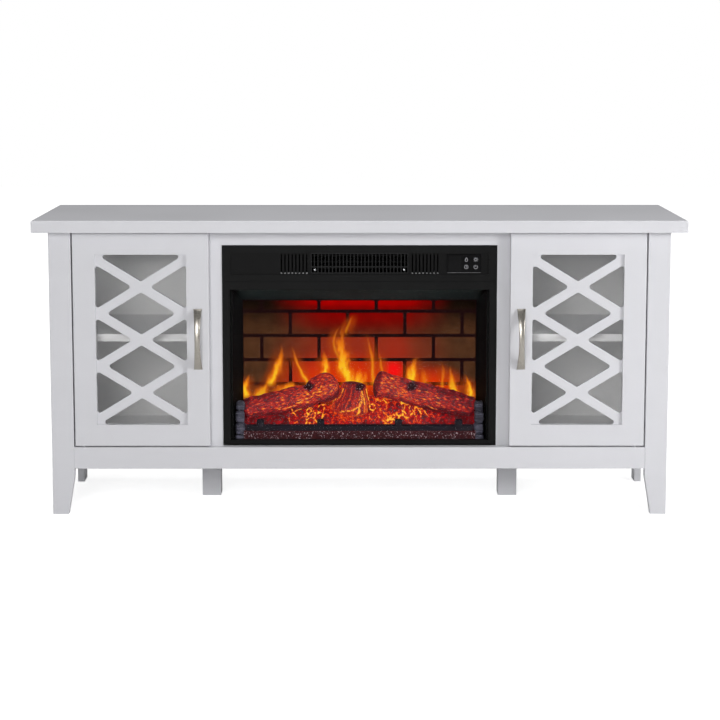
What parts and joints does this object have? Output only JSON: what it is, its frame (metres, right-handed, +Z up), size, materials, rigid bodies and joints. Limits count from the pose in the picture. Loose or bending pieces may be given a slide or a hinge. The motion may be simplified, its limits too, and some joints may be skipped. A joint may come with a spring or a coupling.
{
  "type": "electric fireplace mantel",
  "caption": "White media-console mantel with swinging lattice-and-glass doors, inner shelves and a black electric fireplace insert with log set, outlet grille and push keys.",
  "frame": {"origin": "on the floor, under the middle of the top panel", "axes": "+Z up, the front faces -Y, +X to the right of someone facing it"},
  "size_m": [1.4, 0.4, 0.645],
  "materials": {
    "white_board": "satin white lacquer",
    "white_hardboard": "matt white",
    "clear_glass": "clear",
    "white_plastic": "matt",
    "satin_nickel": "satin",
    "zinc_steel": "zinc plated",
    "black_steel": "matt black",
    "black_plastic": "matt black",
    "gloss_black": "gloss black",
    "circuit_board": "solder mask",
    "brick_print": "brick effect",
    "log_resin": "moulded bark",
    "ember_resin": "moulded embers",
    "bright_aluminium": "bright"
  },
  "bodies": {
    "cabinet": {"blower_duct": "black_steel", "blower_motor": "zinc_steel", "bottom_panel": "white_board", "bottom_rail": "white_board", "brick_screen": "brick_print", "centre_log": "log_resin", "chamber_liner": "black_steel", "control_board": "circuit_board", "control_fascia": "gloss_black", "cord_gland": "black_plastic", "display_window": "gloss_black", "ember_bed": "ember_resin", "firebox_shell": "black_steel", "front_frame": "black_steel", "front_glass": "clear_glass", "grate": "black_plastic", "header_panel": "black_plastic", "header_rail": "white_board", "heating_element": "bright_aluminium", "insert_brackets": "zinc_steel", "left_back_panel": "white_hardboard", "left_centre_stile": "white_board", "left_front_post": "white_board", "left_log": "log_resin", "left_partition": "white_board", "left_shelf": "white_board", "left_side_panel": "white_board", "light_strip": "circuit_board", "outlet_grille": "black_plastic", "pivot_bushes": "white_plastic", "rear_cover": "black_steel", "right_back_panel": "white_hardboard", "right_centre_stile": "white_board", "right_front_post": "white_board", "right_log": "log_resin", "right_partition": "white_board", "right_shelf": "white_board", "right_side_panel": "white_board", "rotor_motor": "zinc_steel", "shelf_pins": "zinc_steel", "support_legs": "white_board", "top_panel": "white_board"},
    "left_door": {"left_door_frame": "white_board", "left_door_lattice": "white_board", "left_door_glass": "clear_glass", "left_glass_bead": "white_plastic", "left_handle": "satin_nickel", "left_pivot_pins": "zinc_steel"},
    "right_door": {"right_door_frame": "white_board", "right_door_lattice": "white_board", "right_door_glass": "clear_glass", "right_glass_bead": "white_plastic", "right_handle": "satin_nickel", "right_pivot_pins": "zinc_steel"},
    "flame_rotor": {"flame_rotor": "bright_aluminium"},
    "blower_rotor": {"blower_rotor": "black_plastic"},
    "flame_key": {"flame_key": "gloss_black"},
    "heat_key": {"heat_key": "gloss_black"},
    "timer_key": {"timer_key": "gloss_black"},
    "power_key": {"power_key": "gloss_black"}
  },
  "joints": [
    {"name": "left_door_swing", "type": "hinge", "parent": "cabinet", "child": "left_door", "pos_m": [-0.599, -0.165, 0.38375], "axis": [0, 0, -1], "range_deg": [0, 110]},
    {"name": "right_door_swing", "type": "hinge", "parent": "cabinet", "child": "right_door", "pos_m": [0.599, -0.165, 0.38375], "axis": [0, 0, 1], "range_deg": [0, 110]},
    {"name": "flame_rotor_spin", "type": "hinge", "parent": "cabinet", "child": "flame_rotor", "pos_m": [0, -0.014, 0.205], "axis": [1, 0, 0], "continuous": true},
    {"name": "blower_spin", "type": "hinge", "parent": "cabinet", "child": "blower_rotor", "pos_m": [0, -0.052, 0.545], "axis": [1, 0, 0], "continuous": true},
    {"name": "flame_key_press", "type": "slide", "parent": "cabinet", "child": "flame_key", "axis": [0, 1, 0], "range_m": [0, 0.001], "stiffness_N_per_m": 800},
    {"name": "heat_key_press", "type": "slide", "parent": "cabinet", "child": "heat_key", "axis": [0, 1, 0], "range_m": [0, 0.001], "stiffness_N_per_m": 800},
    {"name": "timer_key_press", "type": "slide", "parent": "cabinet", "child": "timer_key", "axis": [0, 1, 0], "range_m": [0, 0.001], "stiffness_N_per_m": 800},
    {"name": "power_key_press", "type": "slide", "parent": "cabinet", "child": "power_key", "axis": [0, 1, 0], "range_m": [0, 0.001], "stiffness_N_per_m": 800}
  ]
}
